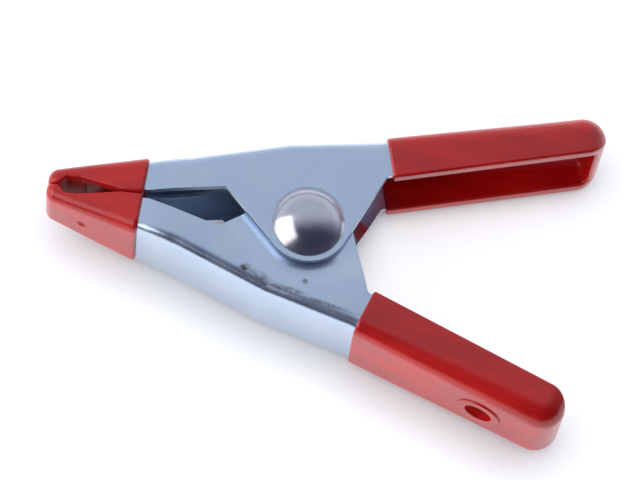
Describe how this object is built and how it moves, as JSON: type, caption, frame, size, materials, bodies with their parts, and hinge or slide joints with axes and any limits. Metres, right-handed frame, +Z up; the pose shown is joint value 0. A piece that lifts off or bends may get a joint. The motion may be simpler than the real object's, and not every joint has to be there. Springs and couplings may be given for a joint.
{
  "type": "spring clamp",
  "caption": "Hand spring clamp: two zinc-plated channel arms on a domed rivet, a torsion spring between them, red dipped handles with hanging holes and red dipped jaws.",
  "frame": {"origin": "on the pivot axis, at the flat of the rivet's tail, which is the clamp's lowest face as it lies", "axes": "+Y to the jaws along the clamp, +Z up along the pivot from the rivet's tail to its domed head, +X to the right arm"},
  "size_m": [0.053, 0.0869, 0.0203],
  "materials": {
    "zinc_steel": "satin zinc plating",
    "rivet_steel": "bright plated",
    "spring_steel": "drawn wire, plated",
    "red_vinyl": "gloss dipped coat"
  },
  "bodies": {
    "right_half": {"right_arm": "zinc_steel", "pivot_rivet": "rivet_steel", "torsion_spring": "spring_steel", "right_grip": "red_vinyl", "right_boot": "red_vinyl"},
    "left_half": {"left_arm": "zinc_steel", "left_grip": "red_vinyl", "left_boot": "red_vinyl"}
  },
  "joints": [
    {"name": "jaw_hinge", "type": "hinge", "parent": "right_half", "child": "left_half", "pos_m": [0, 0, 0.0093], "axis": [0, 0, 1], "range_deg": [0, 38], "stiffness_Nm_per_rad": 0.3, "springref_deg": -17.19, "deforming": ["torsion_spring"]}
  ]
}
